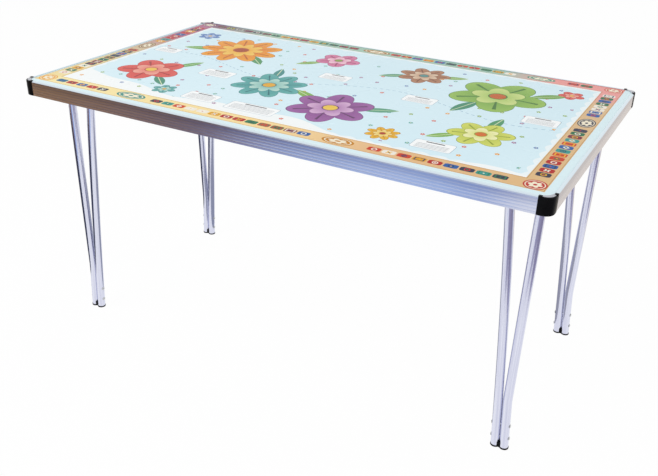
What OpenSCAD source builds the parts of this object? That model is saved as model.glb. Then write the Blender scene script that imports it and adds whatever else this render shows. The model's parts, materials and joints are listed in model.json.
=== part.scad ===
// Folding activity table: a printed board in a ribbed aluminium edge frame, with two leg
// frames that lock apart at the top and fold flat under the board.
// +X runs along the table, -Y faces the front, +Z is up. The origin is on the floor
// under the middle of the top.

/* [Top] */
// Length of the top over its edge rails
top_l = 1220; // [1160:5:1500]
// Width of the top over its edge rails
top_w = 685; // [620:5:800]
// Height of the edge rails' upper face above the floor
top_h = 635; // [600:5:700]
// Thickness of the core board
board_t = 12; // [9:0.5:16]
// Thickness of the printed sheet on the board
sheet_t = 0.8; // [0.5:0.1:1.5]
// Thickness of the backing sheet under the board
backing_t = 0.4; // [0.3:0.1:1]
// Radius of the board's own corners, inside the frame
board_corner_r = 33; // [30:1:36]

/* [Edge rails] */
// Height of an edge rail
rail_h = 34; // [32:1:42]
// Thickness of the rail's outer wall
wall_t = 2; // [1.8:0.1:2.4]
// Radius of the rail's upper outer shoulder
shoulder_r = 3; // [2:0.25:3.5]
// Width of the lip that laps over the printed sheet
lip_w = 6.5; // [5:0.5:9]
// Thickness of that lip
lip_t = 1.4; // [1.2:0.1:2]
// Width of the ledge that carries the board, from the rail's outer face
ledge_w = 15; // [14:0.5:20]
// Thickness of that ledge
ledge_t = 1.8; // [1.4:0.1:2.4]
// Width of the toe along the rail's lower edge
toe_w = 7.5; // [7:0.5:9]
// Thickness of that toe
toe_t = 2; // [1.5:0.1:2.5]
// Number of grooves along the rail's outer face
groove_count = 5; // [2:1:7]
// Width of a groove
groove_w = 1.2; // [0.6:0.1:2]
// Depth of a groove
groove_d = 0.6; // [0.3:0.1:0.9]
// Gap between the board's edge and the rail's outer wall
board_gap = 0.3; // [0.1:0.1:0.6]

/* [Corners] */
// Outer radius of the frame's corners
corner_r = 18; // [15:1:22]
// Distance from the sharp corner to the end of an edge rail
corner_arm = 27; // [27:1:42]
// How far a corner cap stands proud of the rails
cap_proud = 0.8; // [0.4:0.1:1.5]
// How far the cap's rim stays under the rails' upper face
cap_drop = 0.6; // [0.2:0.1:1.2]
// How far the cap reaches below the rails
cap_below = 0.4; // [0.2:0.1:1]
// Thickness of the cap's flange under the corner key
flange_t = 1.6; // [1.2:0.1:2.2]
// Width of that flange from the rail's outer face
flange_w = 8; // [6.5:0.5:10]
// Length of the ear at each end of the cap, along the rail
ear_l = 6.5; // [3.5:0.5:7]
// Thickness of that ear over the lip
ear_t = 0.8; // [0.6:0.1:1.4]
// Radius of the key's lip at the sheet's corner
lip_corner_r = 21; // [20:1:26]
// Distance from the sharp corner to the ends of the key's column
column_reach = 24; // [22:1:25]
// Length of the key's arm inside each rail
key_arm_l = 28; // [24:1:40]
// Width of the key's arm
key_arm_w = 6.6; // [6:0.2:7.2]
// Clearance round the key
key_fit = 0.2; // [0.1:0.05:0.3]

/* [Leg frames] */
// Outside diameter of every leg tube and cross rail
tube_d = 19; // [17:0.5:21]
// Wall of those tubes
tube_wall = 1.2; // [1:0.1:2]
// Distance from the top's long side to a leg's head, before its frame is set sideways
leg_side_inset = 107; // [95:0.5:115]
// How far each leg frame is set sideways, so that the two nest when folded
nest_shift = 12.2; // [12.2:0.2:14]
// How much further out across the table a leg's foot is than its head
leg_splay = 10; // [0:0.5:10]
// Distance from the end of the top to the middle of the feet
foot_inset = 53; // [48:1:70]
// Distance from the end of the top to the pivot rail
pivot_inset = 108; // [100:1:125]
// Distance from the end of the top to the locking rail
lock_inset = 44.5; // [43:0.5:48]
// How far an inner tube bows outward from the straight
bow = 3; // [1:0.25:4]
// Length of a leg's lower stretch, where its two tubes lie side by side
paired_l = 120; // [90:5:150]
// Gap between the two tubes of a pair
pair_gap = 0.4; // [0.3:0.1:0.8]
// Gap between the board's underside and the cross rails
rail_gap = 3; // [3:0.1:4]
// Gap across the flexing bend of an outer tube
bend_gap = 1; // [0.9:0.1:1.4]
// Clearance of a coped tube end round its cross rail
cope_fit = 0.05; // [0.02:0.01:0.1]
// How far below a cross rail's axis the thin tips of a coped tube end are cut off
cope_tip = 2; // [1.5:0.5:3]
// How far the locking rail's ends stand past its leg tubes
lock_rail_past = 1.5; // [1:0.5:3]

/* [Feet and rivets] */
// Thickness of a foot pad
pad_t = 3.2; // [2.5:0.1:5]
// How far the pad's edge stands out past the tubes
pad_edge = 0.7; // [0.3:0.1:0.9]
// Height of the web between the two tubes, above the pad
web_h = 9; // [5:1:15]
// Width of that web along the table
web_w = 7; // [5:0.5:9]
// Length of that web across the table
web_l = 16; // [15:0.5:18]
// Width of the pad's waist between its two round ends
pad_waist_w = 13; // [10:0.5:16]
// Length of the foot's plugs inside the tubes
plug_l = 14; // [8:1:18]
// Clearance round a plug
plug_fit = 0.1; // [0.05:0.05:0.2]
// Diameter of a foot rivet's shank
rivet_d = 4.8; // [4:0.2:5.6]
// Diameter of a rivet's head
rivet_head_d = 9; // [8:0.5:10]
// Height of a rivet's head
rivet_head_h = 2; // [1.5:0.1:2.2]
// Height of the lower rivet above the floor
rivet_low = 25; // [22:1:32]
// Distance between the two rivets of a foot
rivet_pitch = 32; // [25:1:40]
// Clearance round a rivet's shank
rivet_fit = 0.1; // [0.05:0.05:0.2]

/* [Pivot blocks] */
// Width of a pivot block across the table
block_w = 24; // [20:1:26]
// Length of its flange along the table
block_flange_l = 64; // [58:1:70]
// Thickness of that flange
block_flange_t = 5; // [4:0.5:6]
// Wall of the block round the rail
block_wall = 5; // [4:0.5:7]
// Gap between a leg tube and the block beside it
block_gap = 5.5; // [4.5:0.5:6.5]
// Radial running clearance of the rail in the block
pivot_fit = 0.05; // [0.03:0.01:0.08]
// Distance between the block's screws
block_screw_pitch = 48; // [46:1:52]

/* [Rail plugs] */
// Thickness of an end plug's flange
plug_flange_t = 1.5; // [1:0.1:2.5]
// How far the pivot rail's plug overhangs the rail, which keeps the rail between its blocks
plug_overhang = 1; // [0.5:0.1:2]
// Length of a plug inside its rail
plug_stem_l = 12; // [8:1:16]
// Gap between a pivot block and the plug's flange
plug_gap = 0.5; // [0.3:0.1:1]

/* [Rail keepers] */
// Distance of a keeper from the leg beside it
keeper_from_leg = 98; // [70:1:140]
// Width of a keeper across the table
keeper_w = 30; // [20:1:40]
// Thickness of its plate
keeper_plate_t = 2.4; // [2:0.1:2.8]
// Length of its plate inboard of the locking rail
keeper_in_l = 23; // [22:0.5:26]
// Length of its plate outboard of the locking rail
keeper_out_l = 25; // [24:0.5:25.5]
// Depth of its jaw below the locking rail's axis
jaw_drop = 14; // [11:0.5:18]
// Outboard reach of its jaw from the locking rail's axis
jaw_reach = 15.5; // [14.5:0.5:17]
// Clearance between the jaw and the locking rail
jaw_fit = 0.4; // [0.3:0.05:0.6]
// Lean of the jaw's ramp, which follows the rail's way out
jaw_lean = 18; // [10:1:18]
// Inset of the keeper's screws from the ends of its plate
keeper_screw_inset = 5.5; // [5:0.5:6]

/* [Stow clips] */
// Distance of a stow clip from its pivot rail
clip_away = 260; // [220:5:300]
// Length of a clip along the leg
clip_l = 24; // [16:1:34]
// Thickness of a clip's plate
clip_plate_t = 2.2; // [1.8:0.1:2.4]
// Thickness of its prongs
prong_t = 2.6; // [2:0.1:3.4]
// Length of its prongs below the board
prong_h = 20; // [16:0.5:20]
// Clearance between a prong and the leg tube
prong_fit = 0.4; // [0.3:0.05:0.8]
// Width of the plate beyond each prong
clip_flange_w = 14; // [12:0.5:18]

/* [Screws] */
// Shank diameter of the screws that go into the board
screw_d = 3.5; // [3:0.1:4]
// Head diameter of those screws
screw_head_d = 6.4; // [6:0.1:7]
// Head height of those screws
screw_head_h = 1.6; // [1.2:0.1:1.8]
// Depth of those screws in the board
screw_bite = 8; // [6:0.5:8.5]
// Shank diameter of the screws that go into the corner keys
key_screw_d = 2.8; // [2.4:0.1:3]
// Head diameter of those screws
key_screw_head_d = 4.8; // [4.4:0.1:5]
// Head height of those screws
key_screw_head_h = 1.3; // [1:0.1:1.6]
// Depth of those screws in a corner key
key_screw_bite = 9; // [6:0.5:12]
// Clearance round a screw's shank
screw_fit = 0.1; // [0.05:0.05:0.2]
// Screws along each long edge rail
long_rail_screws = 5; // [3:1:7]
// Screws along each short edge rail
short_rail_screws = 3; // [2:1:5]
// Distance from an edge rail's end to its first screw
rail_screw_end = 80; // [70:5:120]
// Distance from a screw's head to the edge of the rail's ledge
screw_edge = 0.8; // [0.5:0.1:1.5]

/* [Hidden] */
sides = 48;
$fn = sides;
// Straight steps that draw a bowed tube
bow_steps = 12;
tube_r = tube_d / 2;
bore_r = tube_r - tube_wall;
touch = 0.02;
past = 1;

// Levels of the top's layers
sheet_top = top_h - lip_t;
board_top = sheet_top - sheet_t;
board_under = board_top - board_t;
underside = board_under - backing_t;
rail_foot = top_h - rail_h;
board_inset = wall_t + board_gap;

// Leg geometry at the right end, as points [x, z]; the left end is the same, turned round
pair_pitch = tube_d + pair_gap;
axis_z = underside - rail_gap - tube_r;
pivot = [top_l / 2 - pivot_inset, axis_z];
lock = [top_l / 2 - lock_inset, axis_z];
foot_x = top_l / 2 - foot_inset;
inner_foot = [foot_x - pair_pitch / 2, 0];
// Both paired tubes bow about bow_centre: the inner with radius bow_r, from foot_turn on
chord = norm(pivot - inner_foot);
bow_r = (chord * chord / 4 + bow * bow) / (2 * bow);
bow_out = [along(inner_foot, pivot)[1], -along(inner_foot, pivot)[0]];
bow_centre = (inner_foot + pivot) / 2 - (bow_r - bow) * bow_out;
half_sweep = asin(chord / 2 / bow_r);
foot_turn = atan2(bow_out[1], bow_out[0]) - half_sweep;
outer_r = bow_r + pair_pitch;
outer_bend = bow_centre + outer_r * [cos(arc_turn(paired_l)), sin(arc_turn(paired_l))];

// Heights of the corner cap and key, and places of their screws in from the sharp corner
cap_foot = rail_foot - cap_below;
key_foot = cap_foot + flange_t + key_fit;
key_arm_low = rail_foot + toe_t + key_fit;
key_arm_high = underside - ledge_t - key_fit;
key_inset = wall_t + key_fit;
key_r = corner_r - key_inset;
column_inset = board_inset - key_fit;
column_r = board_corner_r + key_fit;
cap_screw_at = (diagonal_inset(key_inset, key_r) + diagonal_inset(column_inset, column_r)) / 2;
key_screw_in = key_inset + key_arm_w / 2;
key_screw_at = corner_arm + key_arm_l / 2;
rail_screw_in = ledge_w - screw_head_d / 2 - screw_edge;

// Across the table: the distance between a frame's two legs' heads, then places from its middle
leg_span = top_w - 2 * leg_side_inset;
lean = atan(leg_splay / axis_z);
keeper_y = leg_span / 2 - keeper_from_leg;
block_y = leg_span / 2 + tube_r + block_gap + block_w / 2;
pivot_rail_l = 2 * (block_y + block_w / 2 + plug_gap);
lock_rail_l = leg_span + tube_d + 2 * lock_rail_past;
clip_screw_y = tube_r + prong_fit + prong_t + clip_flange_w / 2;
clip_x = pivot[0] - clip_away;
clip_y = leg_span / 2 + clip_away * tan(lean);
keeper_screw_x = [-keeper_in_l + keeper_screw_inset, keeper_out_l - keeper_screw_inset];

long_rail_x = rail_screw_places(top_l, long_rail_screws);
short_rail_y = rail_screw_places(top_w, short_rail_screws);

ALUMINIUM = [0.82, 0.83, 0.86];
BLACK = [0.08, 0.08, 0.09];
STEEL = [0.6, 0.61, 0.63];

END_PARTS = ["pivot_rail", "pivot_rail_plugs", "locking_rail", "locking_rail_plugs", "foot_rivets"];
CORNER_PARTS = ["corner_cap", "corner_key", "pivot_block", "rail_keeper", "stow_clip",
                "inner_leg", "lower_outer_leg", "upper_outer_leg", "foot"];
TOP_PARTS = ["core_board", "top_sheet", "backing_sheet", "front_edge_rail", "back_edge_rail",
             "left_edge_rail", "right_edge_rail", "edge_rail_screws", "corner_key_screws",
             "corner_cap_screws", "pivot_block_screws", "keeper_screws", "clip_screws"];
NODES = concat(
    TOP_PARTS,
    [for (part = CORNER_PARTS, e = [-1, 1], s = [-1, 1]) corner_name(s, e, part)],
    [for (part = END_PARTS, e = [-1, 1]) end_name(e, part)]);
node = "all";

function end_name(e, part) = str(e > 0 ? "right_" : "left_", part);
function corner_name(s, e, part) = str(s > 0 ? "back_" : "front_", end_name(e, part));
function shown(name) = node == "all" || node == name;
// Unit vector from a to b, for points [x, z]
function along(a, b) = (b - a) / norm(b - a);
// Turn about bow_centre, up from level, of the place at length s up a leg from its foot
function arc_turn(s) = foot_turn + s / bow_r * 180 / PI;
// How far in, along x and y, a rounded corner crosses its diagonal
function diagonal_inset(inset, r) = inset + r * (1 - sqrt(1 / 2));
function rail_screw_places(length, count) =
    let (first = corner_arm + rail_screw_end - length / 2)
    [for (i = [0 : count - 1]) first - 2 * first * i / (count - 1)];

// Placing: e is the end (-1 left, 1 right) and s the side (-1 front, 1 back)

// Puts a right-hand end's parts at either end, turned about the middle of the table
module at_end(e) {
    rotate([0, 0, e > 0 ? 0 : 180]) translate([0, nest_shift, 0]) children();
}

// Puts parts drawn for the back right corner, with the sharp corner at 0, at any corner
module at_corner(s, e) {
    turn = e > 0 ? (s > 0 ? 0 : 270) : (s > 0 ? 90 : 180);
    translate([e * top_l / 2, s * top_w / 2, 0]) rotate([0, 0, turn]) children();
}

// A rail drawn along the front edge, put at one of the four edges
module at_edge(turn) {
    rotate([0, 0, turn]) children();
}

module at_long_rail_screws() {
    for (s = [-1, 1], x = long_rail_x)
        translate([x, s * (top_w / 2 - rail_screw_in), 0]) children();
}

module at_short_rail_screws() {
    for (e = [-1, 1], y = short_rail_y)
        translate([e * (top_l / 2 - rail_screw_in), y, 0]) children();
}

module at_block_screws() {
    for (e = [-1, 1], k = [-1, 1], d = [-1, 1])
        at_end(e) translate([pivot[0] + d * block_screw_pitch / 2, k * block_y, 0]) children();
}

module at_keeper_screws() {
    for (e = [-1, 1], k = [-1, 1], x = keeper_screw_x)
        at_end(e) translate([lock[0] + x, k * keeper_y, 0]) children();
}

// A stow clip's place, turned to follow the folded leg
module at_clip(k) {
    translate([clip_x, k * clip_y, 0]) rotate([0, 0, -k * lean]) children();
}

module at_clip_screws() {
    for (e = [-1, 1], k = [-1, 1], d = [-1, 1])
        at_end(e) at_clip(k) translate([0, d * clip_screw_y, 0]) children();
}

module at_key_screws() {
    for (e = [-1, 1], s = [-1, 1]) at_corner(s, e) {
        translate([-key_screw_at, -key_screw_in, 0]) children();
        translate([-key_screw_in, -key_screw_at, 0]) children();
    }
}

module at_cap_screws() {
    for (e = [-1, 1], s = [-1, 1])
        at_corner(s, e) translate([-cap_screw_at, -cap_screw_at, 0]) children();
}

// Shared shapes

// A screw that points up: its head hangs under z = 0 and its shank rises to length
module screw(length, shank_d, head_d, head_h) {
    crown_d = head_d * 0.8;
    recess_w = head_d / 7;
    recess_l = head_d / 2;
    difference() {
        union() {
            cylinder(h = length, d = shank_d);
            translate([0, 0, -head_h]) cylinder(h = head_h, d1 = crown_d, d2 = head_d);
        }
        for (turn = [0, 90]) rotate([0, 0, turn])
            translate([-recess_l / 2, -recess_w / 2, -head_h - past])
                cube([recess_l, recess_w, past + head_h / 2]);
    }
}

module board_screw(grip) {
    translate([0, 0, underside - grip - touch])
        screw(grip + backing_t + screw_bite, screw_d, screw_head_d, screw_head_h);
}

// The flat outline of a corner, with its sharp corner at 0, set in and rounded
module corner_outline(inset, r, reach) {
    translate([-reach, -reach]) square([reach - inset - r, reach - inset]);
    translate([-reach, -reach]) square([reach - inset, reach - inset - r]);
    translate([-inset - r, -inset - r]) intersection() {
        circle(r);
        square(r);
    }
}

// A plate with the board's outline
module board_plate(z, t) {
    x = top_l / 2 - board_inset;
    y = top_w / 2 - board_inset;
    translate([0, 0, z]) linear_extrude(t) {
        square([2 * (x - board_corner_r), 2 * y], center = true);
        square([2 * x, 2 * (y - board_corner_r)], center = true);
        for (e = [-1, 1], s = [-1, 1])
            translate([e * (x - board_corner_r), s * (y - board_corner_r)])
                circle(board_corner_r);
    }
}

module board_holes(z, t) {
    translate([0, 0, z]) {
        at_long_rail_screws() board_hole(t);
        at_short_rail_screws() board_hole(t);
        at_block_screws() board_hole(t);
        at_keeper_screws() board_hole(t);
        at_clip_screws() board_hole(t);
    }
}

module board_hole(t) {
    translate([0, 0, -past]) cylinder(h = t + past, d = screw_d + 2 * screw_fit);
}

// The edge rail's section: x runs in from the outer face and y up to the upper face at 0
module rail_section() {
    ledge_top = underside - top_h;
    rib_top = -shoulder_r - groove_w;
    rib_pitch = (rail_h - shoulder_r - 2 * groove_w - toe_t) / groove_count;
    difference() {
        union() {
            translate([0, -rail_h]) square([ledge_w, rail_h - shoulder_r]);
            translate([shoulder_r, -shoulder_r]) square([lip_w - lip_t / 2 - shoulder_r, shoulder_r]);
            translate([shoulder_r, -shoulder_r]) circle(shoulder_r);
            translate([lip_w - lip_t / 2, -lip_t / 2]) circle(lip_t / 2);
        }
        translate([wall_t, ledge_top]) square([ledge_w, -lip_t - ledge_top]);
        translate([wall_t, toe_t - rail_h]) square([ledge_w, ledge_top - ledge_t + rail_h - toe_t]);
        translate([toe_w, -rail_h - past]) square([ledge_w, toe_t + 2 * past]);
        for (i = [0 : groove_count - 1])
            translate([-past, rib_top - i * rib_pitch - groove_w]) square([past + groove_d, groove_w]);
    }
}

module tube_section() {
    difference() {
        circle(tube_r, $fn = sides);
        circle(bore_r, $fn = sides);
    }
}

// A straight tube between two points [x, z]
module tube(a, b) {
    d = b - a;
    translate([a[0], 0, a[1]]) rotate([0, atan2(d[0], d[1]), 0])
        linear_extrude(norm(d)) tube_section();
}

// A bowed tube about bow_centre, from the floor up
module bowed_tube(r, sweep) {
    translate([bow_centre[0], 0, bow_centre[1]]) rotate([90, 0, 0]) rotate([0, 0, foot_turn])
        rotate_extrude(angle = sweep, $fn = bow_steps * 360 / sweep)
            translate([r, 0]) tube_section();
}

// Puts parts at length s up a leg, between its two tubes, with z along them and x outward
module up_leg(s) {
    translate([bow_centre[0], 0, bow_centre[1]]) rotate([0, -arc_turn(s), 0])
        translate([bow_r + pair_pitch / 2, 0, 0]) children();
}

// A tube along y, about the point [x, z]
module cross_tube(p, length) {
    translate([p[0], length / 2, p[1]]) rotate([90, 0, 0]) linear_extrude(length) tube_section();
}

// What a coped tube end leaves free round its cross rail, and above its tips
module cope(p) {
    translate([p[0], 0, p[1]]) {
        rotate([90, 0, 0]) cylinder(h = 2 * tube_d, r = tube_r + cope_fit, center = true);
        translate([-tube_d, -tube_d, -cope_tip]) cube([2 * tube_d, 2 * tube_d, tube_d]);
    }
}

// Everything at a foot below z, to cut a leaning tube level
module below(k, z) {
    at_foot(k) translate([-pair_pitch, -pair_pitch, z - tube_d])
        cube([2 * pair_pitch, 2 * pair_pitch, tube_d]);
}

module at_foot(k) {
    translate([foot_x, k * (leg_span / 2 + leg_splay), 0]) children();
}

// Sets a leg's parts, drawn at y = 0, at its head and leans them outward from there
module leaned(k) {
    translate([0, k * leg_span / 2, axis_z]) rotate([k * lean, 0, 0]) translate([0, 0, -axis_z])
        children();
}

module at_rivets() {
    for (s = [rivet_low, rivet_low + rivet_pitch]) up_leg(s) rotate([0, 90, 0]) children();
}

module rivet_holes() {
    at_rivets() cylinder(h = 2 * pair_pitch + tube_d, d = rivet_d + 2 * rivet_fit, center = true);
}

// The top

module core_board() {
    color([0.72, 0.6, 0.45]) difference() {
        board_plate(board_under, board_t);
        board_holes(board_under, screw_bite + screw_fit);
    }
}

module top_sheet() {
    color([0.72, 0.86, 0.94]) board_plate(board_top, sheet_t);
}

module backing_sheet() {
    color([0.85, 0.85, 0.83]) difference() {
        board_plate(underside, backing_t);
        board_holes(underside, backing_t + past);
    }
}

module edge_rail(length, out, screw_places) {
    color(ALUMINIUM) difference() {
        translate([corner_arm - length / 2, -out, top_h]) rotate([90, 0, 90])
            linear_extrude(length - 2 * corner_arm) rail_section();
        for (x = screw_places)
            translate([x, rail_screw_in - out, underside - ledge_t - past])
                cylinder(h = ledge_t + 2 * past, d = screw_d + 2 * screw_fit);
        for (d = [-1, 1])
            translate([d * (length / 2 - key_screw_at), key_screw_in - out, rail_foot - past])
                cylinder(h = toe_t + 2 * past, d = key_screw_d + 2 * screw_fit);
    }
}

module corner_cap() {
    ear_in = lip_w - 1;
    color(BLACK) difference() {
        union() {
            translate([0, 0, cap_foot]) linear_extrude(top_h - cap_drop - cap_foot) difference() {
                corner_outline(-cap_proud, corner_r + cap_proud, corner_arm);
                corner_outline(wall_t, corner_r - wall_t, corner_arm + past);
            }
            translate([0, 0, cap_foot]) linear_extrude(flange_t) difference() {
                corner_outline(-cap_proud, corner_r + cap_proud, corner_arm);
                corner_outline(flange_w, corner_r, corner_arm + past);
            }
            for (side = [0, 1]) mirror([side, -side, 0]) {
                translate([-corner_arm, -wall_t, top_h - 2 * cap_drop])
                    cube([ear_l, wall_t + cap_proud, 2 * cap_drop + ear_t]);
                translate([-corner_arm, -ear_in, top_h + touch])
                    cube([ear_l, ear_in, ear_t - touch]);
            }
        }
        translate([-cap_screw_at, -cap_screw_at, cap_foot - past])
            cylinder(h = flange_t + 2 * past, d = key_screw_d + 2 * screw_fit);
    }
}

module corner_key() {
    color(ALUMINIUM) difference() {
        union() {
            // Lip over the sheet's corner
            translate([0, 0, sheet_top]) linear_extrude(lip_t) difference() {
                corner_outline(key_inset, key_r, corner_arm - key_fit);
                corner_outline(lip_w, lip_corner_r, corner_arm + past);
            }
            // Column between the cap and the board's rounded corner
            translate([0, 0, key_foot]) linear_extrude(sheet_top - key_foot) difference() {
                corner_outline(key_inset, key_r, column_reach);
                corner_outline(column_inset, column_r, column_reach + past);
            }
            // Arms inside the two rails
            translate([0, 0, key_arm_low]) linear_extrude(key_arm_high - key_arm_low)
                intersection() {
                    corner_outline(key_inset, key_r, corner_arm + key_arm_l);
                    difference() {
                        translate([-corner_arm - key_arm_l, -corner_arm - key_arm_l])
                            square(corner_arm + key_arm_l);
                        translate([-corner_arm - key_arm_l - past, -corner_arm - key_arm_l - past])
                            square(corner_arm + key_arm_l + past - key_inset - key_arm_w);
                    }
                }
        }
        for (side = [0, 1]) mirror([side, -side, 0])
            translate([-key_screw_at, -key_screw_in, key_arm_low - past])
                cylinder(h = key_screw_bite + past, d = key_screw_d + 2 * screw_fit);
        translate([-cap_screw_at, -cap_screw_at, key_foot - past])
            cylinder(h = key_screw_bite + past, d = key_screw_d + 2 * screw_fit);
    }
}

// What hangs under the top, drawn at the right end about the middle of its leg frame

module pivot_block(k) {
    barrel_r = tube_r + block_wall;
    rise = underside - axis_z;
    color(BLACK) translate([pivot[0], k * block_y, axis_z]) difference() {
        rotate([90, 0, 0]) linear_extrude(block_w, center = true) difference() {
            union() {
                translate([-block_flange_l / 2, rise - block_flange_t])
                    square([block_flange_l, block_flange_t]);
                translate([-barrel_r, 0]) square([2 * barrel_r, rise]);
                intersection() {
                    circle(barrel_r);
                    translate([-barrel_r, -barrel_r]) square([2 * barrel_r, barrel_r]);
                }
            }
            circle(tube_r + pivot_fit);
        }
        for (d = [-1, 1])
            translate([d * block_screw_pitch / 2, 0, rise - block_flange_t - past])
                cylinder(h = block_flange_t + 2 * past, d = screw_d + 2 * screw_fit);
    }
}

module rail_keeper(k) {
    seat_r = tube_r + jaw_fit;
    rise = underside - axis_z;
    color(BLACK) translate([lock[0], k * keeper_y, axis_z]) difference() {
        rotate([90, 0, 0]) linear_extrude(keeper_w, center = true) {
            translate([-keeper_in_l, rise - keeper_plate_t])
                square([keeper_in_l + keeper_out_l, keeper_plate_t]);
            difference() {
                translate([tube_r / 2, -jaw_drop])
                    square([jaw_reach - tube_r / 2, jaw_drop + rise - touch]);
                circle(seat_r);
                // The rail's way out, down and inboard
                rotate(-jaw_lean) translate([-2 * jaw_reach, -3 * jaw_drop])
                    square([2 * jaw_reach + seat_r + touch, 3 * jaw_drop]);
            }
        }
        for (x = keeper_screw_x)
            translate([x, 0, rise - keeper_plate_t - past])
                cylinder(h = keeper_plate_t + 2 * past, d = screw_d + 2 * screw_fit);
    }
}

module stow_clip(k) {
    jaw = tube_r + prong_fit;
    half_w = jaw + prong_t + clip_flange_w;
    color(BLACK) at_clip(k) translate([0, 0, underside]) difference() {
        union() {
            translate([-clip_l / 2, -half_w, -clip_plate_t]) cube([clip_l, 2 * half_w, clip_plate_t]);
            for (d = [-1, 1])
                translate([-clip_l / 2, d * (jaw + prong_t / 2) - prong_t / 2, -prong_h])
                    cube([clip_l, prong_t, prong_h]);
        }
        for (d = [-1, 1])
            translate([0, d * clip_screw_y, -clip_plate_t - past])
                cylinder(h = clip_plate_t + 2 * past, d = screw_d + 2 * screw_fit);
    }
}

// The leg frame that turns on the pivot rail

module pivot_rail() {
    color(ALUMINIUM) cross_tube(pivot, pivot_rail_l);
}

module rail_plug(p, rail_l, flange_r) {
    for (k = [-1, 1]) translate([p[0], k * rail_l / 2, p[1]]) rotate([-90 * k, 0, 0]) {
        cylinder(h = plug_flange_t, r = flange_r);
        translate([0, 0, -plug_stem_l]) cylinder(h = plug_stem_l + past, r = bore_r - plug_fit);
    }
}

module pivot_rail_plugs() {
    color(BLACK) rail_plug(pivot, pivot_rail_l, tube_r + plug_overhang);
}

module inner_leg(k) {
    color(ALUMINIUM) difference() {
        leaned(k) difference() {
            bowed_tube(bow_r, 2 * half_sweep);
            rivet_holes();
        }
        translate([0, k * leg_span / 2, 0]) cope(pivot);
        below(k, pad_t + touch);
    }
}

module lower_outer_leg(k) {
    color(ALUMINIUM) difference() {
        leaned(k) difference() {
            bowed_tube(outer_r, arc_turn(paired_l - bend_gap / 2) - foot_turn);
            rivet_holes();
        }
        below(k, pad_t + touch);
    }
}

module foot(k) {
    color(BLACK) {
        at_foot(k) linear_extrude(pad_t) {
            for (d = [-1, 1]) translate([d * pair_pitch / 2, 0]) circle(tube_r + pad_edge);
            square([pair_pitch, pad_waist_w], center = true);
        }
        leaned(k) up_leg(past) {
            for (d = [-1, 1]) translate([d * pair_pitch / 2, 0, 0])
                cylinder(h = plug_l + pad_t - past, r = bore_r - plug_fit);
            linear_extrude(web_h + pad_t - past) difference() {
                square([web_w, web_l], center = true);
                for (d = [-1, 1]) translate([d * pair_pitch / 2, 0]) circle(tube_r + plug_fit);
            }
        }
    }
}

module foot_rivets() {
    grip = pair_pitch + tube_d;
    dome_r = (rivet_head_d * rivet_head_d / 4 + rivet_head_h * rivet_head_h) / (2 * rivet_head_h);
    color(STEEL) for (k = [-1, 1]) leaned(k) at_rivets() {
        cylinder(h = grip + 2 * touch, d = rivet_d, center = true);
        for (d = [0, 180]) rotate([d, 0, 0]) translate([0, 0, grip / 2 + touch]) intersection() {
            translate([0, 0, rivet_head_h - dome_r]) sphere(dome_r);
            cylinder(h = rivet_head_h + past, d = rivet_head_d);
        }
    }
}

// The sprung frame that locks the legs open

module upper_outer_leg(k) {
    color(ALUMINIUM) difference() {
        leaned(k) tube(outer_bend + along(outer_bend, lock) * bend_gap / 2, lock);
        translate([0, k * leg_span / 2, 0]) cope(lock);
    }
}

module locking_rail() {
    color(ALUMINIUM) cross_tube(lock, lock_rail_l);
}

module locking_rail_plugs() {
    color(BLACK) rail_plug(lock, lock_rail_l, tube_r);
}

// Screws

module edge_rail_screws() {
    color(STEEL) {
        at_long_rail_screws() board_screw(ledge_t);
        at_short_rail_screws() board_screw(ledge_t);
    }
}

module pivot_block_screws() {
    color(STEEL) at_block_screws() board_screw(block_flange_t);
}

module keeper_screws() {
    color(STEEL) at_keeper_screws() board_screw(keeper_plate_t);
}

module clip_screws() {
    color(STEEL) at_clip_screws() board_screw(clip_plate_t);
}

module corner_key_screws() {
    reach = key_arm_low - rail_foot + key_screw_bite - screw_fit;
    color(STEEL) at_key_screws() translate([0, 0, rail_foot - touch])
        screw(reach, key_screw_d, key_screw_head_d, key_screw_head_h);
}

module corner_cap_screws() {
    reach = key_foot - cap_foot + key_screw_bite - screw_fit;
    color(STEEL) at_cap_screws() translate([0, 0, cap_foot - touch])
        screw(reach, key_screw_d, key_screw_head_d, key_screw_head_h);
}

// Drawing

if (shown("core_board")) core_board();
if (shown("top_sheet")) top_sheet();
if (shown("backing_sheet")) backing_sheet();
if (shown("front_edge_rail")) at_edge(0) edge_rail(top_l, top_w / 2, long_rail_x);
if (shown("back_edge_rail")) at_edge(180) edge_rail(top_l, top_w / 2, long_rail_x);
if (shown("right_edge_rail")) at_edge(90) edge_rail(top_w, top_l / 2, short_rail_y);
if (shown("left_edge_rail")) at_edge(270) edge_rail(top_w, top_l / 2, short_rail_y);
if (shown("edge_rail_screws")) edge_rail_screws();
if (shown("corner_key_screws")) corner_key_screws();
if (shown("corner_cap_screws")) corner_cap_screws();
if (shown("pivot_block_screws")) pivot_block_screws();
if (shown("keeper_screws")) keeper_screws();
if (shown("clip_screws")) clip_screws();

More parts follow.
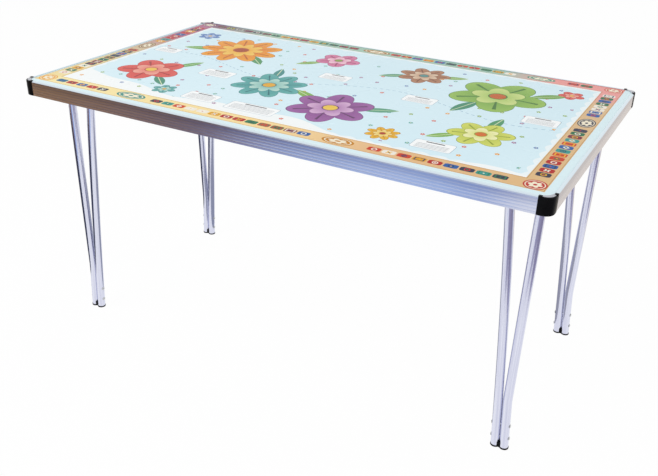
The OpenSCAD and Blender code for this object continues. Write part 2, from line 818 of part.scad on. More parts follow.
// A part at side k of the turned frame stands at side k * e of the table
for (e = [-1, 1], k = [-1, 1]) {
    if (shown(corner_name(k, e, "corner_cap"))) at_corner(k, e) corner_cap();
    if (shown(corner_name(k, e, "corner_key"))) at_corner(k, e) corner_key();
    if (shown(corner_name(k * e, e, "pivot_block"))) at_end(e) pivot_block(k);
    if (shown(corner_name(k * e, e, "rail_keeper"))) at_end(e) rail_keeper(k);
    if (shown(corner_name(k * e, e, "stow_clip"))) at_end(e) stow_clip(k);
    if (shown(corner_name(k * e, e, "inner_leg"))) at_end(e) inner_leg(k);
    if (shown(corner_name(k * e, e, "lower_outer_leg"))) at_end(e) lower_outer_leg(k);
    if (shown(corner_name(k * e, e, "upper_outer_leg"))) at_end(e) upper_outer_leg(k);
    if (shown(corner_name(k * e, e, "foot"))) at_end(e) foot(k);
}
for (e = [-1, 1]) {
    if (shown(end_name(e, "pivot_rail"))) at_end(e) pivot_rail();
    if (shown(end_name(e, "pivot_rail_plugs"))) at_end(e) pivot_rail_plugs();
    if (shown(end_name(e, "locking_rail"))) at_end(e) locking_rail();
    if (shown(end_name(e, "locking_rail_plugs"))) at_end(e) locking_rail_plugs();
    if (shown(end_name(e, "foot_rivets"))) at_end(e) foot_rivets();
}
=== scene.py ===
# A folding activity table: a printed board in a grooved aluminium frame, on two pairs of
# paired-tube legs. Sizes are in metres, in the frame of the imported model, unless said otherwise.
import json
import math
import bpy
from mathutils import Matrix, Vector

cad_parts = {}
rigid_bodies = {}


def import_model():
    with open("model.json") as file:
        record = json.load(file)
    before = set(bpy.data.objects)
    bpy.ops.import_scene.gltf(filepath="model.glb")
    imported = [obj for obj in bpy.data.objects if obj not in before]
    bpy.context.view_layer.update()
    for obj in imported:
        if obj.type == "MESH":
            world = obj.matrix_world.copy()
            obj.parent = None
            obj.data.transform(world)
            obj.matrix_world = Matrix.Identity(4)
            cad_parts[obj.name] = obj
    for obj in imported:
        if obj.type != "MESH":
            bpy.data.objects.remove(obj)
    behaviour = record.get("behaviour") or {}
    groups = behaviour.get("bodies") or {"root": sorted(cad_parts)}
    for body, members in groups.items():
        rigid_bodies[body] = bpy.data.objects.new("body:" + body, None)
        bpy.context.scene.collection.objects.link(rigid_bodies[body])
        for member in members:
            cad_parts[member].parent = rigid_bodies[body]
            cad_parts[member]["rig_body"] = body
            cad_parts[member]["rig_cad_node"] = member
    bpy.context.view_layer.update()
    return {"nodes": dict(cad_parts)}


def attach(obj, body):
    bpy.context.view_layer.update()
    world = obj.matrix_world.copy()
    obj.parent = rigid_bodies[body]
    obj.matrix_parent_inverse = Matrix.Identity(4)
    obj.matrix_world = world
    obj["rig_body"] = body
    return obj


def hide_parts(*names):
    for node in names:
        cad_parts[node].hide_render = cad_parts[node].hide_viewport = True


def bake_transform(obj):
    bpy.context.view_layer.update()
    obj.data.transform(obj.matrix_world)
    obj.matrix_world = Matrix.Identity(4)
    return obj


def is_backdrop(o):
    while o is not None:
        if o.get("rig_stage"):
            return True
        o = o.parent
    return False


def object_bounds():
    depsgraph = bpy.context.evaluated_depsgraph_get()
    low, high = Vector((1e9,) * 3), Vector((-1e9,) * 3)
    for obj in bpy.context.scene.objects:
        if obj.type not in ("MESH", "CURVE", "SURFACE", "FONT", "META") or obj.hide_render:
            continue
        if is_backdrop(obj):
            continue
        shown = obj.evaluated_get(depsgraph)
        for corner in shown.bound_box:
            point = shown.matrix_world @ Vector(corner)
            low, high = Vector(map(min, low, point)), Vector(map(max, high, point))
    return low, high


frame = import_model()
MM = 0.001

# Camera: a 44 mm lens held a little above the table, beside its near right corner,
# turned 29 degrees from square and looking down at the top.
CAMERA_AT = Vector((0.8626, -1.5601, 1.1872))
AZIMUTH, ELEVATION, ROLL = (math.radians(angle) for angle in (28.822, 27.983, 1.207))
camera = bpy.data.objects.new("camera", bpy.data.cameras.new("camera"))
camera.data.lens = 44
camera.data.sensor_width = 36
bpy.context.scene.collection.objects.link(camera)
camera.matrix_world = (
    Matrix.Translation(CAMERA_AT)
    @ Matrix.Rotation(AZIMUTH, 4, "Z")
    @ Matrix.Rotation(math.pi / 2 - ELEVATION, 4, "X")
    @ Matrix.Rotation(ROLL, 4, "Z")
)
bpy.context.scene.camera = camera


# Core board: a 12 mm fibreboard panel with rounded corners. The rails and keys hold its edge,
# and all that hangs under the table is screwed into it.
def paint(code):
    """The linear colour of a hex code."""
    values = [int(code[i:i + 2], 16) / 255 for i in (0, 2, 4)]
    return [v / 12.92 if v < 0.04045 else ((v + 0.055) / 1.055) ** 2.4 for v in values] + [1]


class Wire:
    """A socket in a tree of shader nodes. Sums on it add Math nodes."""

    def __init__(self, shading, socket):
        self.shading, self.socket = shading, socket

    def math(self, operation, *values):
        inputs = dict(enumerate((self,) + values))
        return self.shading.node("Math", {"operation": operation}, inputs)

    def __add__(self, other):
        return self.math("ADD", other)

    def __sub__(self, other):
        return self.math("SUBTRACT", other)

    def __rsub__(self, other):
        return self.math("MULTIPLY_ADD", -1, other)

    def __mul__(self, other):
        return self.math("MULTIPLY", other)

    def __truediv__(self, other):
        return self.math("DIVIDE", other)

    def __lt__(self, other):
        return self.math("LESS_THAN", other)

    def __gt__(self, other):
        return self.math("GREATER_THAN", other)

    def __abs__(self):
        return self.math("ABSOLUTE")

    __radd__, __rmul__ = __add__, __mul__


class Shading:
    """The shader nodes of a finish or of the room, and the one way to add to them."""

    def __init__(self, tree):
        self.tree = tree

    def feed(self, socket, value):
        """Leads a Wire to a socket, or sets a plain value on it."""
        if isinstance(value, Wire):
            self.tree.links.new(value.socket, socket)
        else:
            socket.default_value = value

    def node(self, kind, settings=None, inputs=None, output=0):
        new = self.tree.nodes.new("ShaderNode" + kind)
        for key, value in (settings or {}).items():
            if key == "stops":
                ramp = new.color_ramp
                while len(ramp.elements) < len(value):
                    ramp.elements.new(1)
                for element, (at, colour) in zip(ramp.elements, value):
                    element.position, element.color = at, colour
            elif key == "steps":
                new.color_ramp.interpolation = value
            else:
                setattr(new, key, value)
        for key, value in (inputs or {}).items():
            self.feed(new.inputs[key], value)
        return Wire(self, new.outputs[output])


class Finish(Shading):
    """A material with one Principled shader, and the object's own place as x, y and z."""

    def __init__(self, name, **shader):
        self.material = bpy.data.materials.new(name)
        self.material.use_nodes = True
        super().__init__(self.material.node_tree)
        self.shader = self.tree.nodes["Principled BSDF"]
        for socket, value in shader.items():
            self.set(socket.replace("_", " ").title().replace("Ior", "IOR"), value)
        self.place = self.node("TexCoord", output="Object")
        self.x, self.y, self.z = self.split(self.place)

    def set(self, socket, value):
        self.feed(self.shader.inputs[socket], value)

    def vector(self, x, y, z):
        return self.node("CombineXYZ", inputs={0: x, 1: y, 2: z})

    def split(self, vector):
        parts = self.node("SeparateXYZ", inputs={0: vector}).socket.node
        return [Wire(self, socket) for socket in parts.outputs]

    def noise(self, scale, detail, place=None):
        inputs = {"Vector": place or self.place, "Scale": scale, "Detail": detail}
        return self.node("TexNoise", inputs=inputs)

    def mix(self, mask, under, over):
        inputs = {0: mask, 6: under, 7: over}
        return self.node("Mix", {"data_type": "RGBA"}, inputs, output=2)

    def ramp(self, mask, stops, steps="LINEAR"):
        """The tones of a list of (place, hex code), by a mask from 0 to 1."""
        stops = [(at, paint(code)) for at, code in stops]
        return self.node("ValToRGB", {"steps": steps, "stops": stops}, {0: mask})

    def bump(self, height, depth, strength):
        inputs = {"Height": height, "Distance": depth, "Strength": strength}
        self.set("Normal", self.node("Bump", inputs=inputs))


def coat(piece, finish):
    """Gives a piece its finish."""
    piece.data.materials.clear()
    piece.data.materials.append(finish.material)


fibreboard = Finish("fibreboard", roughness=0.85)
chips = fibreboard.noise(900, detail=4)
fibreboard.set("Base Color", fibreboard.ramp(chips, [(0.3, "8a6a45"), (0.7, "b8946a")]))
fibreboard.bump(chips, 0.0004, 0.6)
coat(frame["nodes"]["core_board"], fibreboard)

# Backing sheet: a pale grey foil glued under the board to keep it flat. It has the faint
# orange-peel of pressed foil.
backing = Finish("backing foil", roughness=0.5)
peel = backing.noise(600, detail=2)
backing.set("Base Color", backing.ramp(peel, [(0.3, "d2d3d1"), (0.7, "dcdcda")]))
backing.bump(peel, 0.0002, 0.4)
coat(frame["nodes"]["backing_sheet"], backing)

# Top sheet: a glossy plastic laminate, printed under its clear face. The print is a pale-blue
# field of flowers, leaves and ruled cards inside a border of small tiles, with a plain margin.
# The print is laid out in millimetres from the table's middle.
laminate = Finish("printed laminate", specular_ior_level=0.07)
across_print, up_print = laminate.x * 1000, laminate.y * 1000
print_colour = laminate.mix(laminate.noise(3, detail=3), paint("d2ecf6"), paint("ddf3fa"))


def ink(mask, tone):
    """Prints a tone over what is there, where the mask is 1."""
    global print_colour
    print_colour = laminate.mix(mask, print_colour, tone if isinstance(tone, Wire) else paint(tone))


def hue(pick, stops):
    """One of a few tones, picked by a value from 0 to 1."""
    return laminate.ramp(pick, stops, "CONSTANT")


def both(*masks):
    """1 where every mask is 1."""
    total = masks[0]
    for mask in masks[1:]:
        total = total * mask
    return total


def choose(mask, low, high):
    """low where the mask is 0 and high where it is 1; either may be a number."""
    return mask * (high - low) + low


def polar(x, y):
    """The angle and the distance from a place on the print, in millimetres."""
    dx, dy = across_print - x, up_print - y
    return dy.math("ARCTAN2", dx), (dx * dx + dy * dy).math("SQRT")


def petal_edge(angle, radius, petals, turn):
    """The middles of rounded petals that meet in cusps, and how far out their edge lies."""
    lobe = abs(angle.math("MULTIPLY_ADD", petals / 2, turn).math("COSINE"))
    return lobe, lobe.math("MULTIPLY_ADD", radius * 0.36, radius * 0.64)


# The border: a line half way across it, the distance out from that line, and which edges are
# nearer. A paler scalloped rim lies inside it.
BAND_CENTRE, BAND_HALF, BAND_HALF_W = (-6.5, 10), (571, 307), 22.5
SCALLOP_PITCH, SCALLOP_DEPTH, RIM_W = 38, 8, 27
band_x = abs(across_print - BAND_CENTRE[0]) - BAND_HALF[0]
band_y = abs(up_print - BAND_CENTRE[1]) - BAND_HALF[1]
from_band = band_x.math("MAXIMUM", band_y)
on_side = band_x > band_y
along = choose(on_side, across_print, up_print)
scallop = abs((along * (math.pi / SCALLOP_PITCH)).math("COSINE")) * SCALLOP_DEPTH + RIM_W
ink(from_band > scallop * -1, "eef8fa")

# A pale bank along the front, and a dashed trail that winds across the middle
bank = (across_print / 86).math("COSINE") * 15 + (across_print / 33).math("SINE") * 7
ink(up_print < bank - across_print * 0.06 - 246, "f6fafa")
trail = abs((across_print / 92).math("SINE") * 38 - up_print + 6) < 1
dash = (across_print / 15).math("FRACT") < 0.55
ink(both(trail, dash, from_band < -40), "86aec6")


def draw(seed, offset):
    """A value from 0 to 1 that is drawn for each seed."""
    return laminate.node("TexWhiteNoise", {"noise_dimensions": "1D"}, {"W": seed + offset})


# Tiny flowers strewn over the field, one in most squares of a net
NET, SQUARES_IN_ROW, BUD_R = 54, 57, 5.2
square_x, square_y = ((place / NET).math("FLOOR") for place in (across_print, up_print))
square = square_y * SQUARES_IN_ROW + square_x
bud_x = (draw(square, 0.2) * 0.6 + 0.2 + square_x) * NET
bud_y = (draw(square, 0.4) * 0.6 + 0.2 + square_y) * NET
bud_angle, bud_distance = polar(bud_x, bud_y)
in_bud = bud_distance < petal_edge(bud_angle, BUD_R, 5, bud_x)[1]
bud_here = both(draw(square, 0.6) < 0.7, from_band < -44)
BUD_TONES = [(0, "d24942"), (0.2, "e4960e"), (0.38, "5eaba1"), (0.56, "955d97"),
             (0.72, "84ab4c"), (0.88, "4972b4")]
ink(both(in_bud, bud_here), hue(draw(square, 0.8), BUD_TONES))
ink(both(bud_distance < 1.5, bud_here), "fbf3cf")

# Leaves: each a lens with a pale midrib, by its middle, half its length, its turn and its tone
LEAVES = [
    (-442, 104, 50, 200, "71a94f"), (-262, 84, 46, 318, "4d955e"), (168, -96, 46, 24, "5aa080"),
    (-12, -88, 44, 152, "82b250"), (312, 30, 50, 252, "3f8b6b"), (452, 190, 48, 36, "6ea045"),
    (-372, -42, 42, 64, "68a657"), (-352, -176, 40, 318, "3f8c6f"), (216, 206, 38, 22, "81ad54"),
    (88, 152, 38, 212, "4f9771"), (408, -46, 40, 84, "4a9564"), (-136, 134, 36, 226, "7aa848"),
    (-150, 16, 40, 108, "3d8b87"), (338, -160, 36, 222, "7fb04f"),
]
for x, y, reach, turn, tone in LEAVES:
    dx, dy = across_print - x, up_print - y
    cosine, sine = math.cos(math.radians(turn)), math.sin(math.radians(turn))
    run = dx.math("MULTIPLY_ADD", cosine, dy * sine)
    off = abs(dy.math("MULTIPLY_ADD", cosine, dx * -sine))
    fullness = (run * run).math("MULTIPLY_ADD", -0.3 / reach, 0.3 * reach)
    ink(off < fullness, tone)
    ink(both(off < 0.9, off < fullness), "e4efc4")

# Flowers: a dark rim, petals that deepen towards the middle, veins, an inner whorl and a heart.
# Each has its middle, radius, number of petals, turn, and the tones of those parts.
FLOWERS = [
    (-345, 140, 106, 9, 0.4, ("b35200", "ec9f11", "e27202", "f2cf5e", "a33b01")),
    (75, -135, 93, 6, 1.2, ("5c2a5f", "9d5ea1", "7a3b82", "dcb5d8", "ebc54a")),
    (352, 132, 108, 5, 0.2, ("43762b", "97be56", "619a38", "d2df8c", "c35e1a")),
    (-120, -72, 86, 8, 0.9, ("1f6b70", "5dada8", "2b8a8e", "bfe0d4", "e2a926")),
    (-424, -120, 80, 5, 0.5, ("a02729", "dd574d", "c93735", "f1ad99", "ecc24a")),
    (150, 188, 62, 7, 2.1, ("6c402b", "b37f5d", "8b573a", "e6d0b4", "528b87")),
    (402, -116, 66, 6, 2.4, ("8c9b25", "d3d963", "aebe37", "f4f3c0", "d26916")),
    (-84, 192, 56, 5, 0, ("923260", "d87ea5", "b94e7e", "f7d5e0", "819e37")),
    (236, -214, 34, 8, 0.8, ("b27300", "ebb926", "dc9304", "f3e49b", "ad391f")),
    (-500, 214, 30, 6, 0.3, ("285092", "6a90ca", "3d68af", "cfdcf0", "e9b937")),
    (492, 226, 28, 5, 0.7, ("a02729", "e1665c", "c93735", "f2baa8", "ecc24a")),
    (-300, -222, 27, 6, 0.1, ("1f6b70", "6eb6af", "2b8a8e", "cbe6dc", "e2a926")),
]
for x, y, radius, petals, turn, (rim, petal, deep, whorl, heart) in FLOWERS:
    angle, distance = polar(x, y)
    lobe, edge = petal_edge(angle, radius, petals, turn)
    ink(distance - 1.8 < edge, rim)
    ink(distance < edge, laminate.mix(distance / radius, paint(deep), paint(petal)))
    ink(both(lobe > 0.993, distance < 0.86 * radius), rim)
    inner = petal_edge(angle, 0.56 * radius, petals, turn + math.pi / 2)[1]
    ink(distance - 1.2 < inner, rim)
    ink(distance < inner, laminate.mix(distance / (0.6 * radius), paint(petal), paint(whorl)))
    ink(distance < 0.2 * radius, rim)
    ink(distance < 0.17 * radius, heart)

# White cards with a thin edge, a bar at the head and ruled lines, by their middles and half sizes
CARD_CORNER, CARD_EDGE, RULE_PITCH = 7, 1.2, 6
CARDS = [
    (-272, -62, 42, 25), (-22, 62, 38, 22), (214, 16, 38, 22), (482, 20, 38, 23),
    (-502, 40, 34, 21), (-198, -222, 42, 24), (346, -224, 42, 22), (-62, -228, 60, 24),
]
for x, y, half_x, half_y in CARDS:
    dx, dy = abs(across_print - x), up_print - y
    corner_x = (dx - (half_x - CARD_CORNER)).math("MAXIMUM", 0)
    corner_y = (abs(dy) - (half_y - CARD_CORNER)).math("MAXIMUM", 0)
    in_corner = corner_x * corner_x + corner_y * corner_y
    ink(in_corner < CARD_CORNER ** 2, "9fb9c6")
    ink(in_corner < (CARD_CORNER - CARD_EDGE) ** 2, "fbfdfd")
    ruled = abs((dy / RULE_PITCH).math("FRACT") - 0.5) < 0.12
    ink(both(ruled, dx < half_x - 9, abs(dy + 4) < half_y - 10), "7c8790")
    ink(both(dx < half_x * 0.45, abs(dy - (half_y - 7.5)) < 2), "2f333d")

# The border's ground runs from yellow and tan in front to green, purple and pink at the back
share_across, share_up = across_print / 1200 + 0.5, up_print / 680 + 0.5
GROUNDS = {
    "front": [(0.1, "f7e6a6"), (0.5, "f8dc9c"), (0.72, "e6b986"), (1, "dfb983")],
    "back": [(0.02, "7c3c6b"), (0.2, "a9c9b4"), (0.75, "9cc3b3"), (0.85, "ec9d98")],
    "left": [(0.1, "f1dc9c"), (0.45, "d9cc9c"), (0.75, "b0668a")],
    "right": [(0.1, "dfb983"), (0.78, "dcba8c"), (0.86, "ec9d98")],
}
ground = {edge: laminate.ramp(share_across if edge in ("front", "back") else share_up, stops)
          for edge, stops in GROUNDS.items()}
at_back, at_right = up_print > 0, across_print > 0
ink(from_band > BAND_HALF_W, "dcf1f6")
in_band = abs(from_band) < BAND_HALF_W
ink(in_band, laminate.mix(on_side, laminate.mix(at_back, ground["front"], ground["back"]),
                          laminate.mix(at_right, ground["left"], ground["right"])))
ink(abs(abs(from_band) - (BAND_HALF_W - 2)) < 0.6, "b98a55")

# Its tiles lie in a row, clear of the corners and of the badges, each with a small ornament
# in it. Each pair of sizes has one for the long edges and one for the short ones, where the
# tiles lie across their row. Every edge draws its tones from seeds of its own.
TILE_PITCH, TILE_HALF_ALONG, TILE_HALF_BESIDE = (30.5, 21.5), (13.6, 9.4), (8.6, 13.4)
pitch = choose(on_side, *TILE_PITCH)
half_along = choose(on_side, *TILE_HALF_ALONG)
half_beside = choose(on_side, *TILE_HALF_BESIDE)
beside = abs(from_band)
cell = (along / pitch).math("FLOOR")
tile_middle = (cell + 0.5) * pitch
within = abs(along - tile_middle)
seed = cell + choose(on_side, at_back * 131, at_right * 23 + 57)
room = choose(on_side, *BAND_HALF) - BAND_HALF_W - half_along
from_middle = abs(tile_middle - choose(on_side, *BAND_CENTRE))
off_corner = within / half_along + beside / half_beside < 1.7
in_tile = both(in_band, within < half_along, beside < half_beside, off_corner, from_middle < room)
BADGES = [  # by middle, half size and tone; the last four are on the corners
    (-330, -297, 38, 17, "2c8b80"), (182, -297, 34, 17, "c37f00"), (-40, 317, 38, 15, "a16f28"),
    (396, 317, 34, 15, "3f8c79"), (-577.5, 44, 17, 28, "86602a"), (564.5, 62, 18, 28, "44444e"),
    (-577.5, -297, 21, 21, "e7a301"), (564.5, -297, 21, 21, "be352e"),
    (-577.5, 317, 21, 18, "783d6c"), (564.5, 317, 21, 18, "ce5047"),
]
BETWEEN_CORNERS = BADGES[:6]
for x, y, reach_x, reach_y, tone in BETWEEN_CORNERS:
    on_long_edge = abs(y) > 290
    if on_long_edge:
        near = both(on_side < 0.5, abs(up_print - y) < 60, abs(tile_middle - x) < reach_x + 14)
    else:
        near = both(on_side, abs(across_print - x) < 60, abs(tile_middle - y) < reach_y + 10)
    in_tile = both(in_tile, near < 0.5)
TILE_TONES = [(0, "b21510"), (0.13, "0e6841"), (0.26, "dc9c00"), (0.38, "292a42"),
              (0.48, "efe9dc"), (0.58, "c9350d"), (0.7, "1458a1"), (0.8, "791833"), (0.9, "2a958c")]
ORNAMENT_TONES = [(0, "f8f3e2"), (0.24, "ebb311"), (0.42, "c92216"), (0.6, "1d7950"),
                  (0.8, "203159")]
ink(in_tile, hue(draw(seed, 0), TILE_TONES))
reach_2 = within * within + beside * beside
ring_ornament = both(reach_2 < 34, reach_2 > 14)
lozenge = abs(within + beside - 5.2) < 1.6
slant = abs(within - beside)
petal_ornament = both(slant < 2.1, within + beside < 9.5, within + beside > 1.6)
frame_ornament = abs((within / half_along).math("MAXIMUM", beside / half_beside) - 0.66) < 0.1
pick = draw(seed, 0.5)
ornament = choose(pick < 0.78, frame_ornament, lozenge)
ornament = choose(pick < 0.55, ornament, petal_ornament)
ornament = choose(pick < 0.3, ornament, ring_ornament)
ink(both(in_tile, ornament), hue(draw(seed, 0.25), ORNAMENT_TONES))
ink(both(in_tile, reach_2 < 3), hue(draw(seed, 0.75), ORNAMENT_TONES))

# Each badge is an oval with a ring and a flower
for x, y, reach_x, reach_y, tone in BADGES:
    dx = across_print.math("MULTIPLY_ADD", 1 / reach_x, -x / reach_x)
    dy = up_print.math("MULTIPLY_ADD", 1 / reach_y, -y / reach_y)
    round_badge = dx * dx + dy * dy
    ink(round_badge < 1, tone)
    ink(abs(round_badge - 0.66) < 0.07, "f4ead0")
    angle, edge = dy.math("ARCTAN2", dx), round_badge.math("SQRT")
    ink(edge < petal_edge(angle, 0.62, 6, 0.4)[1], "f4ead0")
    ink(round_badge < 0.03, tone)

# The clear face has a fine orange peel and a little handling wear
handled = laminate.noise(9, detail=4)
laminate.set("Base Color", print_colour)
laminate.set("Roughness", handled * 0.14 + 0.2)
laminate.bump(laminate.noise(450, detail=2), 0.00004, 0.25)
coat(frame["nodes"]["top_sheet"], laminate)

# Edge rails: four anodised aluminium extrusions with a rounded lip over the print, a fluted
# outer face and a ledge under the board. They are cut square and pushed onto the corner keys.
TOP_L, TOP_W, TOP_H = 1220 * MM, 685 * MM, 635 * MM
RAIL_H, WALL_T, CORNER_ARM = 34 * MM, 2 * MM, 27 * MM
SHOULDER_R, LIP_W, LIP_T = 3 * MM, 6.5 * MM, 1.4 * MM
LEDGE_TOP, LEDGE_T, LEDGE_W = -14.6 * MM, 1.8 * MM, 15 * MM
TOE_T, TOE_W = 2 * MM, 7.5 * MM
FLUTES, FLUTE_W, FLUTE_D, FLUTE_PITCH, FIRST_FLUTE = 5, 1.6 * MM, 0.12 * MM, 6.1 * MM, 3.7 * MM


def deselect():
    bpy.ops.object.select_all(action="DESELECT")


def pick_up(piece):
    """Selects one piece alone, as what the next tool works on."""
    deselect()
    piece.select_set(True)
    bpy.context.view_layer.objects.active = piece


def arc(x, y, radius, start, end, steps):
    """Points round a circle, from one angle in degrees to another."""
    turns = [math.radians(start + (end - start) * i / steps) for i in range(steps + 1)]
    return [(x + radius * math.cos(t), y + radius * math.sin(t)) for t in turns]


def trace(name, points, travel):
    """Draws an outline from corner to corner, fills it and extrudes it by travel."""
    deselect()
    bpy.ops.mesh.primitive_plane_add(size=MM, location=points[0])
    bpy.context.object.name = name
    bpy.ops.object.mode_set(mode="EDIT")
    bpy.ops.mesh.merge(type="CENTER")
    for here, there in zip(points, points[1:] + points[:1]):
        bpy.ops.mesh.extrude_vertices_move(TRANSFORM_OT_translate={"value": there - here})
    bpy.ops.mesh.select_all(action="SELECT")
    bpy.ops.mesh.remove_doubles(threshold=MM / 100)
    bpy.ops.mesh.edge_face_add()
    bpy.ops.mesh.extrude_region_move(TRANSFORM_OT_translate={"value": travel})
    bpy.ops.mesh.select_all(action="SELECT")
    bpy.ops.mesh.normals_make_consistent(inside=False)
    bpy.ops.object.mode_set(mode="OBJECT")
    return settle(bpy.context.object)


def settle(piece):
    """Puts a piece's place and turn into its mesh."""
    pick_up(piece)
    bpy.ops.object.transform_apply(location=True, rotation=True, scale=True)
    return piece


def modify(piece, kind, **settings):
    """Adds a modifier and applies it."""
    pick_up(piece)
    modifier = piece.modifiers.new(kind.lower(), kind)
    for key, value in settings.items():
        setattr(modifier, key, value)
    bpy.ops.object.modifier_apply(modifier=modifier.name)
    return piece


SHARP = math.radians(35)  # where two faces turn by more than this, the edge counts as sharp


def soften(piece, width, segments=3):
    """Rounds a piece's sharp edges and shades it smooth."""
    modify(piece, "BEVEL", width=width, segments=segments, limit_method="ANGLE",
           angle_limit=SHARP, miter_outer="MITER_ARC")
    bpy.ops.object.shade_smooth_by_angle(angle=SHARP)
    return piece


def flatten(piece):
    """Makes the flat faces of a smoothly shaded piece look flat."""
    return modify(piece, "WEIGHTED_NORMAL", keep_sharp=True, weight=100)


def copy(piece, name, turn=0, shift=(0, 0, 0)):
    """A copy with its own mesh, shifted and then turned about the table's middle."""
    pick_up(piece)
    bpy.ops.object.duplicate()
    twin = bpy.context.object
    twin.name = name
    twin.data.transform(Matrix.Rotation(math.radians(turn), 4, "Z") @ Matrix.Translation(shift))
    return twin


def dress(piece, finish, body, node):
    """Gives a piece its finish and its body, and hides the CAD node that it stands for."""
    coat(piece, finish)
    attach(piece, body)
    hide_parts(node)


def draw_lines(finish, place, depth):
    """The gloss and relief of die lines, where place changes across them. Returns their tone."""
    fine = finish.noise(1800, detail=3, place=place)
    broad = finish.noise(260, detail=1, place=place)
    finish.set("Roughness", fine * 0.12 + 0.11)
    finish.bump(fine, 0.00003, depth)
    return broad.math("MULTIPLY_ADD", 0.7, fine * 0.3)


# Painted light on the anodising, by height: a band of painted shade, a little darker under the
# shoulder, and a painted pale-blue reflection, palest on the lip
RAIL_PAINTED_LIGHT_TONES = [(0, "dde0ee"), (0.45, "d6daea"), (0.72, "bcc1d6"), (0.88, "bcc1d6"),
              (0.95, "d8e4ee"), (1, "dcecf2")]
ALONG = 0.002  # how little the die lines change along a piece, against across it
long_rail_metal = Finish("long rail metal", metallic=1)
short_rail_metal = Finish("short rail metal", metallic=1)
for metal, by_x, by_y in ((long_rail_metal, ALONG, 1), (short_rail_metal, 1, ALONG)):
    place = metal.vector(metal.x * by_x, metal.y * by_y, metal.z)
    lines = draw_lines(metal, place, 0.1)
    height = (metal.z - (TOP_H - RAIL_H)) / RAIL_H
    # the tone by height is painted shade under the shoulder and a painted reflection on the lip
    tone = metal.ramp(height, RAIL_PAINTED_LIGHT_TONES)
    metal.set("Base Color", metal.mix(lines * 0.25, tone, paint("a8acc0")))


def rail_outline():
    """The rail's section: in from its outer face and up from its upper face."""
    points = arc(LIP_W - LIP_T / 2, -LIP_T / 2, LIP_T / 2, -90, 90, 6)
    points += arc(SHOULDER_R, -SHOULDER_R, SHOULDER_R, 90, 180, 8)
    for i in range(FLUTES):  # each flute has a slope, a flat floor and a slope
        top = -FIRST_FLUTE - i * FLUTE_PITCH
        points += [(0, top), (FLUTE_D, top - 0.4 * FLUTE_W)]
        points += [(FLUTE_D, top - 0.6 * FLUTE_W), (0, top - FLUTE_W)]
    points += [(0, -RAIL_H), (TOE_W, -RAIL_H), (TOE_W, TOE_T - RAIL_H), (WALL_T, TOE_T - RAIL_H)]
    points += [(WALL_T, LEDGE_TOP - LEDGE_T), (LEDGE_W, LEDGE_TOP - LEDGE_T)]
    points += [(LEDGE_W, LEDGE_TOP), (WALL_T, LEDGE_TOP), (WALL_T, -LIP_T)]
    return points


for side, length, out, turn, metal in (
    ("front", TOP_L, TOP_W / 2, 0, long_rail_metal),
    ("right", TOP_W, TOP_L / 2, 90, short_rail_metal),
    ("back", TOP_L, TOP_W / 2, 180, long_rail_metal),
    ("left", TOP_W, TOP_L / 2, 270, short_rail_metal),
):
    start = CORNER_ARM - length / 2
    section = [Vector((start, d - out, TOP_H + h)) for d, h in rail_outline()]
    rail = trace(side + "_rail", section, Vector((length - 2 * CORNER_ARM, 0, 0)))
    flatten(soften(rail, 0.18 * MM, 2))
    rail.data.transform(Matrix.Rotation(math.radians(turn), 4, "Z"))
    dress(rail, metal, "table_top", side + "_edge_rail")

# Corner keys: cast aluminium corners whose arms join two rails inside them. Only their lip
# shows, as a pale crescent between the print's corner and the cap's rim.
CORNERS = {  # each corner's turn from the back right one, and the signs of its x and y
    ("back", "right"): (0, 1, 1), ("back", "left"): (90, -1, 1),
    ("front", "left"): (180, -1, -1), ("front", "right"): (270, 1, -1),
}
cast_metal = Finish("cast metal", metallic=1)
cast_grain = cast_metal.noise(1500, detail=3)
cast_metal.set("Base Color", cast_metal.ramp(cast_grain, [(0.3, "a7a9b0"), (0.7, "bfc1c8")]))
cast_metal.set("Roughness", cast_grain * 0.2 + 0.22)
cast_metal.bump(cast_grain, 0.0001, 0.6)


def softened(node, name, width, segments=2):
    """A copy of a CAD node, merged, with its edges rounded."""
    pick_up(frame["nodes"][node])
    bpy.ops.object.duplicate()
    piece = bpy.context.object
    piece.name = name
    piece.parent = None
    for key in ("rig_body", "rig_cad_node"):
        del piece[key]
    bpy.ops.mesh.customdata_custom_splitnormals_clear()
    bpy.ops.object.mode_set(mode="EDIT")
    bpy.ops.mesh.select_all(action="SELECT")
    bpy.ops.mesh.remove_doubles(threshold=MM / 500)
    bpy.ops.mesh.dissolve_limited(angle_limit=math.radians(0.5))
    bpy.ops.object.mode_set(mode="OBJECT")
    return flatten(soften(piece, width, segments))


for side, end in CORNERS:
    node = f"{side}_{end}_corner_key"
    dress(softened(node, node + "_casting", 0.3 * MM), cast_metal, "table_top", node)

# Corner caps: satin black mouldings pushed over each corner. The wall wraps the rails' ends,
# a flange closes it below and an ear at each end hooks over the rail's lip.
CORNER_R, CAP_PROUD, CAP_LOW, CAP_HIGH = 18 * MM, 0.8 * MM, 600.6 * MM, 634.4 * MM
FLANGE_W, FLANGE_T, EAR_L = 8 * MM, 1.6 * MM, 6.5 * MM
black_plastic = Finish("black plastic", specular_ior_level=0.07)
grain = black_plastic.noise(2500, detail=2)
smears = black_plastic.noise(45, detail=4)
black_plastic.set("Base Color", black_plastic.ramp(smears, [(0.3, "060607"), (0.75, "0e0e10")]))
black_plastic.set("Roughness", smears * 0.2 + 0.26)
black_plastic.bump(grain, 0.00008, 0.7)


def combine(piece, other, operation="UNION"):
    """Joins another solid to a piece, or cuts it away."""
    modify(piece, "BOOLEAN", object=other, operation=operation, solver="EXACT")
    bpy.data.objects.remove(other)


def corner_strip(name, outer, inner, inner_r, low, thickness):
    """A strip round the corner, between two distances in from the rails' outer faces."""
    end = -CORNER_ARM
    points = [(end, -outer)] + arc(-CORNER_R, -CORNER_R, CORNER_R - outer, 90, 0, 14)
    points += [(-outer, end), (-inner, end)]
    points += arc(-inner - inner_r, -inner - inner_r, inner_r, 0, 90, 14) + [(end, -inner)]
    return trace(name, [Vector((x, y, low)) for x, y in points], Vector((0, 0, thickness)))


